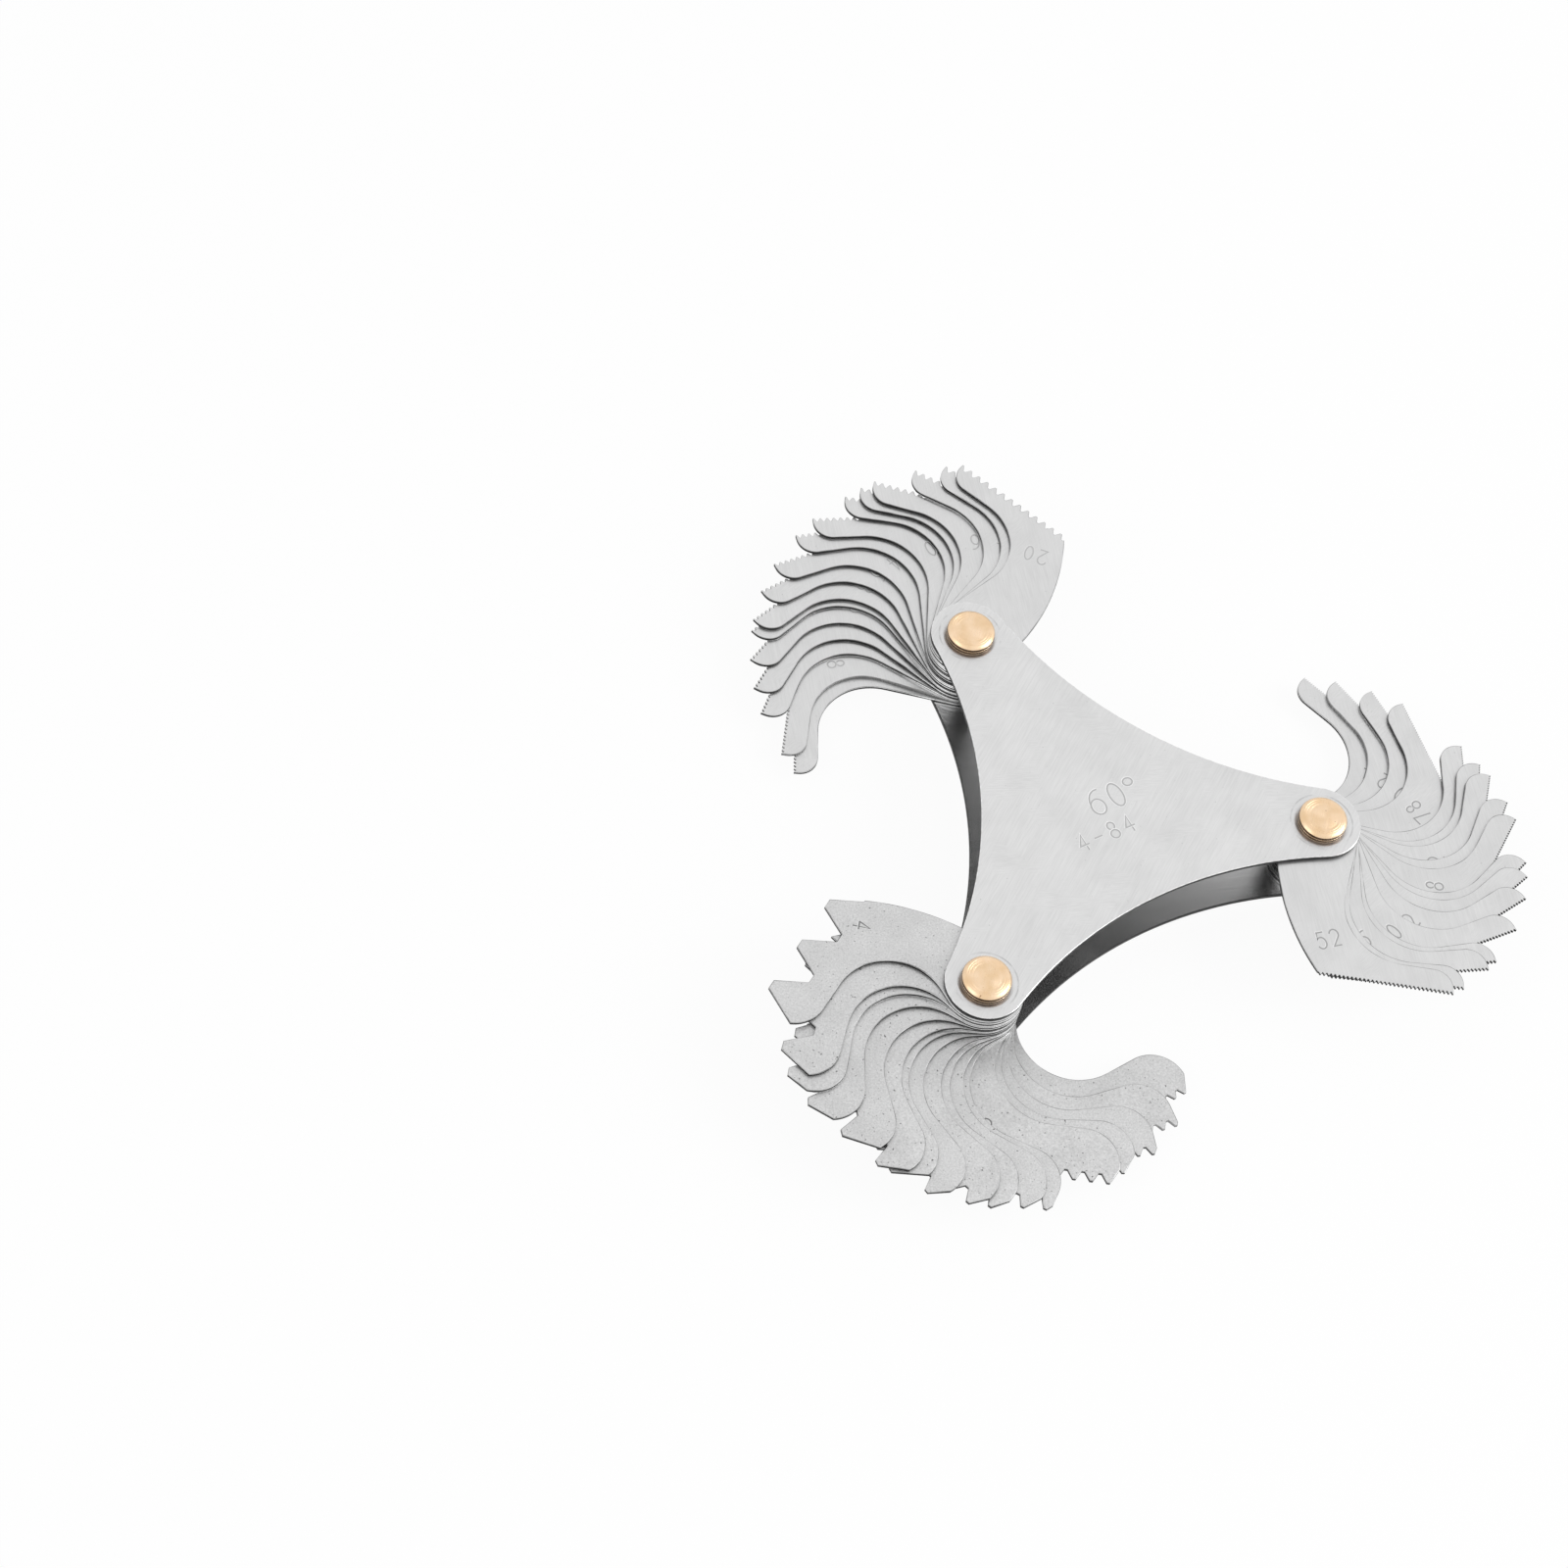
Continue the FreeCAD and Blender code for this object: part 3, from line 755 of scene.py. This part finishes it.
def rivet_tree():
    """Sets copies of one rivet round a circle, each keeping its own turning centre."""
    tree, given = new_tree("rivets in a ring", [
        ("Rivets", "Int"), ("Ring radius", "Float"), ("Face", "Material"), ("Side", "Material")])
    centred = add(tree, "GeometryNodeStoreNamedAttribute", {
        "Geometry": given["Geometry"], "Name": "turned",
        "Value": add(tree, "GeometryNodeInputPosition").outputs[0]}, data_type="FLOAT_VECTOR").outputs[0]
    ring = add(tree, "GeometryNodeMeshCircle", {
        "Vertices": given["Rivets"], "Radius": given["Ring radius"]}).outputs[0]
    copies = add(tree, "GeometryNodeInstanceOnPoints", {"Points": ring, "Instance": centred}).outputs[0]
    return end_tree(tree, copies, given["Face"], given["Side"])


def run_tree(maker, tree, values):
    """Gives an object the tree with its inputs set by identifier."""
    modifier = maker.modifiers.new(tree.name, "NODES")
    modifier.node_group = tree
    for item in tree.interface.items_tree:
        if item.in_out == "INPUT" and item.name in values:
            modifier[item.identifier] = values[item.name]


# Pieces

def roll_rims(bm, pitch, material_index):
    """Lays the punch's rolled rim round both faces, narrower along the teeth."""
    narrow = min(RIM_WIDTH, TOOTH_RIM_SHARE * pitch) * MM
    tooth_floor = (REACH - pitch) * MM
    for side in (1, -1):
        faces = [face for face in bm.faces if face.normal.z * side > FACING]
        ring = bmesh.ops.inset_region(bm, faces=faces, thickness=narrow, use_even_offset=True,
                                      use_boundary=True)["faces"]
        edge_corners = set()
        for face in ring:
            face.material_index = material_index
            for corner in face.verts:
                if any(abs(near.normal.z) < FACING for near in corner.link_faces):
                    edge_corners.add(corner)
        for corner in edge_corners:
            for edge in corner.link_edges:
                inner = edge.other_vert(corner)
                if inner in edge_corners or abs(inner.co.z - corner.co.z) > narrow / 2:
                    continue
                if corner.co.y < tooth_floor:
                    inner.co = corner.co.lerp(inner.co, RIM_WIDTH * MM / narrow)
        for corner in edge_corners:
            corner.co.z -= side * RIM_DROP * MM


def make_leaf(joint, tree, steel):
    """One leaf: its blank with teeth and bore, its rolled rims, and its number."""
    node = joint["child"]
    label = node[len("leaf_"):-len("_tpi")].replace("_", ".")
    threads_per_inch = float(label)
    band, nose_radius, end = SLIM_BLANK if threads_per_inch >= FIRST_SLIM else WIDE_BLANK
    inset = CREST_INSETS.get(label, 0.0)
    pitch = INCH / threads_per_inch
    flat = pitch * FLAT_SHARE
    run = pitch / 2 - flat
    last_crest = inset - end
    points = blank_outline(band, nose_radius, end)
    if inset:
        points = cut_by_last_flank(points, last_crest)
    maker = finished("blank", slab(points, LEAF_THICKNESS))
    run_tree(maker, tree, {
        "Pitch": pitch * MM,
        "Flat": flat * MM,
        "Depth": run / FLANK_SLOPE * MM,
        "First notch": (last_crest + 1.5 * flat + run) * MM,
        "Notches": math.ceil((back_x(REACH) - last_crest - flat) / pitch),
        "Crest line": REACH * MM,
        "Root rounding": ROOT_ROUNDING * pitch * MM,
        "Thickness": LEAF_THICKNESS * MM,
        "Bore radius": LEAF_BORE_RADIUS * MM,
        "Face": steel["slim leaf"] if threads_per_inch >= FIRST_SLIM else steel["wide leaf"],
        "Wall": steel["leaf wall"],
    })
    mesh = plain_mesh(maker)
    number_groove = steel["coarse groove"]
    if threads_per_inch >= FIRST_FINE:
        number_groove = steel["fine groove"]
    elif threads_per_inch >= FIRST_SLIM:
        number_groove = steel["medium groove"]
    mesh.materials.append(steel["rim"])
    mesh.materials.append(number_groove)
    rim = mesh.materials.find(steel["rim"].name)
    groove = mesh.materials.find(number_groove.name)

    bm = bmesh.new()
    bm.from_mesh(mesh)
    bmesh.ops.remove_doubles(bm, verts=bm.verts, dist=WELD * MM)
    roll_rims(bm, pitch, rim)
    sharpen(bm, LEAF_CREASE)
    uv = bm.loops.layers.uv.new("stroke")
    engrave_number(bm, uv, label, groove)

    pivot = Vector(joint["pos_m"])
    arm = round(direction((0, 0), pivot))
    swing = joint["range_deg"][1]
    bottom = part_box(node)[0].z
    turn = Matrix.Rotation(math.radians(arm + CLOSED_TURN - swing), 4, "Z")
    bm.transform(Matrix.Translation((pivot.x, pivot.y, bottom)) @ turn)
    bm.to_mesh(mesh)
    bm.free()
    piece = finished("ground_" + node, mesh)
    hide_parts(node)
    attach(piece, node)


def make_plate(node, steel, outside, lip, lines):
    """A case plate with its bores and a tumbled rim, cut as a filled curve. Outside is 1 for up."""
    curve = bpy.data.curves.new(node, "CURVE")
    curve.dimensions = "2D"
    curve.fill_mode = "BOTH"
    curve.extrude = (PLATE_THICKNESS / 2 - PLATE_LIP) * MM
    curve.bevel_depth = PLATE_LIP * MM
    curve.bevel_resolution = 1
    curve.offset = -PLATE_LIP * MM
    outlines = [plate_outline()]
    for arm in ARMS:
        centre = polar(ARM_LENGTH, arm)
        outlines.append([polar(PLATE_BORE_RADIUS, 360 / BORE_STEPS * i, centre) for i in range(BORE_STEPS)])
    for points in outlines:
        spline = curve.splines.new("POLY")
        spline.points.add(len(points) - 1)
        spline.use_cyclic_u = True
        for target, point in zip(spline.points, points):
            target.co = (point.x * MM, point.y * MM, 0, 1)
    mesh = plain_mesh(finished("plate curve", curve))
    mesh.materials.clear()
    slots = ("plate", "plate wall", lip, "plate groove", "inside")
    for name in slots:
        mesh.materials.append(steel[name])

    bm = bmesh.new()
    bm.from_mesh(mesh)
    bmesh.ops.remove_doubles(bm, verts=bm.verts, dist=WELD * MM)
    bmesh.ops.recalc_face_normals(bm, faces=bm.faces)
    for face in bm.faces:
        tilt = face.normal.z * outside
        if tilt > PLATE_FLAT:
            finish = "plate"
        elif tilt > PLATE_LIP_END:
            finish = lip
        elif tilt > -PLATE_FLAT:
            finish = "plate wall"
        else:
            finish = "inside"
        face.material_index = slots.index(finish)
    sharpen(bm, PLATE_CREASE)
    uv = bm.loops.layers.uv.new("stroke")
    low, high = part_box(node)
    middle = (low.z + high.z) / 2
    top = PLATE_THICKNESS / 2 + GROOVE_PROUD
    for text, place, size, turn in lines:
        engrave(bm, uv, text, place, top, size, turn, slots.index("plate groove"))
    bm.transform(Matrix.Translation((0, 0, middle)))
    bm.to_mesh(mesh)
    bm.free()
    piece = finished("tumbled_" + node, mesh)
    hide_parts(node)
    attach(piece, "case")


def rivet_profile(top):
    """Half of a rivet's section from its upper middle down to its lower middle."""
    shoulder = [(HEAD_RADIUS - inwards, depth) for inwards, depth in HEAD_SHOULDER]
    foot = [(HEAD_RADIUS, HEAD_HEIGHT - HEAD_FOOT), (HEAD_RADIUS - HEAD_FOOT, HEAD_HEIGHT)]
    half = HEAD_FACE + shoulder + foot + [(SHANK_RADIUS, HEAD_HEIGHT)]
    upper = [(radius, top - depth) for radius, depth in half]
    return upper + [(radius, depth) for radius, depth in reversed(half)]


def make_rivets(brass):
    """The three rivets, turned from one profile and set on their ring."""
    low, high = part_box("rivets")
    bm = bmesh.new()
    profile = [bm.verts.new((radius * MM, 0, z * MM)) for radius, z in rivet_profile(high.z / MM)]
    edges = [bm.edges.new(pair) for pair in zip(profile, profile[1:])]
    bmesh.ops.spin(bm, geom=profile + edges, axis=(0, 0, 1), cent=(0, 0, 0),
                   angle=math.tau, steps=RIVET_STEPS, use_merge=True)
    bmesh.ops.remove_doubles(bm, verts=bm.verts, dist=WELD * MM)
    bmesh.ops.recalc_face_normals(bm, faces=bm.faces)
    sharpen(bm, RIVET_CREASE)
    mesh = bpy.data.meshes.new("rivet")
    bm.to_mesh(mesh)
    bm.free()
    maker = finished("rivet", mesh)
    run_tree(maker, rivet_tree(), {
        "Rivets": len(ARMS),
        "Ring radius": ARM_LENGTH * MM,
        "Face": brass["face"],
        "Side": brass["side"],
    })
    piece = finished("turned_rivets", plain_mesh(maker))
    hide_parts("rivets")
    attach(piece, "case")


# Camera, floor and light

def set_camera():
    """The photograph's own view."""
    data = bpy.data.cameras.new("camera")
    data.lens = CAMERA_LENS
    data.sensor_width = SENSOR_WIDTH
    camera = bpy.data.objects.new("camera", data)
    bpy.context.scene.collection.objects.link(camera)
    turn = Euler([math.radians(angle) for angle in CAMERA_TURN]).to_matrix().to_4x4()
    camera.matrix_world = Matrix.Translation(Vector(CAMERA_PLACE) * MM) @ turn
    bpy.context.scene.camera = camera


def set_world():
    """White where the camera or a reflection sees it, and a plain soft level on the object."""
    world = bpy.data.worlds.new("studio")
    world.use_nodes = True
    tree = world.node_tree
    tree.nodes.clear()
    path = add(tree, "ShaderNodeLightPath")
    seen = path.outputs["Is Camera Ray"]
    for name in ("Is Glossy Ray", "Is Transmission Ray"):
        seen = add(tree, "ShaderNodeMath", {
            0: seen, 1: path.outputs[name]}, operation="MAXIMUM").outputs[0]
    soft = add(tree, "ShaderNodeBackground", {"Color": srgb("#FFFFFF"), "Strength": SOFT_LEVEL})
    white = add(tree, "ShaderNodeBackground", {"Color": srgb("#FFFFFF"), "Strength": 1.0})
    mixed = add(tree, "ShaderNodeMixShader", {0: seen, 1: soft.outputs[0], 2: white.outputs[0]})
    add(tree, "ShaderNodeOutputWorld", {0: mixed.outputs[0]})
    bpy.context.scene.world = world


def set_floor():
    """A white table that keeps the gauge's shadow."""
    bm = bmesh.new()
    bmesh.ops.create_grid(bm, x_segments=1, y_segments=1, size=FLOOR_HALF * MM)
    mesh = bpy.data.meshes.new("floor")
    bm.to_mesh(mesh)
    bm.free()
    floor = finished("floor", mesh)
    floor.location.z = -FLOOR_DROP * MM
    material = bpy.data.materials.new("white table")
    material.use_nodes = True
    tree = material.node_tree
    tree.nodes.clear()
    paint = add(tree, "ShaderNodeBsdfDiffuse", {"Color": srgb("#F4F4F4")})
    glow = add(tree, "ShaderNodeEmission", {"Color": srgb("#FFFFFF"), "Strength": 1.0})
    path = add(tree, "ShaderNodeLightPath")
    seen = add(tree, "ShaderNodeMath", {
        0: path.outputs["Is Camera Ray"], 1: path.outputs["Is Glossy Ray"]}, operation="MAXIMUM").outputs[0]
    share = add(tree, "ShaderNodeMath", {0: seen, 1: FLOOR_GLOW}, operation="MULTIPLY").outputs[0]
    mixed = add(tree, "ShaderNodeMixShader", {0: share, 1: paint.outputs[0], 2: glow.outputs[0]})
    add(tree, "ShaderNodeOutputMaterial", {0: mixed.outputs[0]})
    floor.data.materials.append(material)


def set_lamp(name, place, size, power):
    """A soft square lamp that looks at the gauge."""
    data = bpy.data.lights.new(name, "AREA")
    data.shape = "SQUARE"
    data.size = size
    data.energy = power
    lamp = bpy.data.objects.new(name, data)
    bpy.context.scene.collection.objects.link(lamp)
    aim = (-Vector(place)).to_track_quat("-Z", "Y").to_matrix().to_4x4()
    lamp.matrix_world = Matrix.Translation(place) @ aim


def main():
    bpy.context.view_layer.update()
    bpy.context.scene.view_settings.view_transform = "Standard"
    set_camera()
    set_world()
    set_floor()
    set_lamp("window", *WINDOW_LAMP)
    set_lamp("fill", *FILL_LAMP)
    steel = {
        "plate": rivet_marks(ground_steel("ground and tumbled plate steel", "#DFDFDF", "#D6D6D6", 62)),
        "inside": rolled_steel(),
        "slim leaf": ground_steel("ground spring steel leaf", "#DBDBDB", "#D2D2D2", 100),
        "wide leaf": blasted_steel(),
        # The leaves' walls carry painted shade and painted highlight
        "leaf wall": sheared_edge_with_painted_light("sheared leaf edge with painted light", LEAF_PITCH, LEAF_THICKNESS, LEAF_TEARS, 0.85),
        # The plates' walls are all painted shade
        "plate wall": sheared_edge_with_painted_light("sheared plate edge in painted shade", PLATE_PITCH, PLATE_THICKNESS, PLATE_SHADE_SHARES, 1.0),
        # The rims' grey hairlines are painted shade
        "rim": rolled_rim_with_painted_shade(),
        # The top plate's lip is a painted highlight
        "lip": tumbled_lip_with_painted_light("tumbled lip with painted highlight", "#F6F6F6", "#C6C6C6"),
        # The bottom plate's lip is painted shade
        "painted shade lip": tumbled_lip_with_painted_light("tumbled lip in painted shade", "#404040", "#2C2C2C"),
        # The grooves carry painted shade and a painted highlight
        "plate groove": engraved_groove_with_painted_light("scribed plate groove", "#B2B2B2", "#F2F2F2"),
        "coarse groove": engraved_groove_with_painted_light("blasted leaf groove", "#808080", "#E6E6E6"),
        "medium groove": engraved_groove_with_painted_light("lightly stamped leaf groove", "#BABABA", "#DEDEDE"),
        "fine groove": engraved_groove_with_painted_light("stamped leaf groove", "#A2A2A2", "#E2E2E2"),
    }
    brass = {
        "face": turned_brass("turned brass face", "#F6DABA", "#E8C8A0", 0.3, 0.8),
        # The side is the face's brass in painted shade
        "side": turned_brass("turned brass side in painted shade", "#64503F", "#33241A", 0.3, 0.2),
    }
    teeth = tooth_row_tree()
    for joint in frame["joints"]:
        make_leaf(joint, teeth, steel)
    # The bottom plate's lip is painted shade
    make_plate("bottom_plate", steel, -1, "painted shade lip", [])
    make_plate("top_plate", steel, 1, "lip", PLATE_LINES)
    make_rivets(brass)


main()
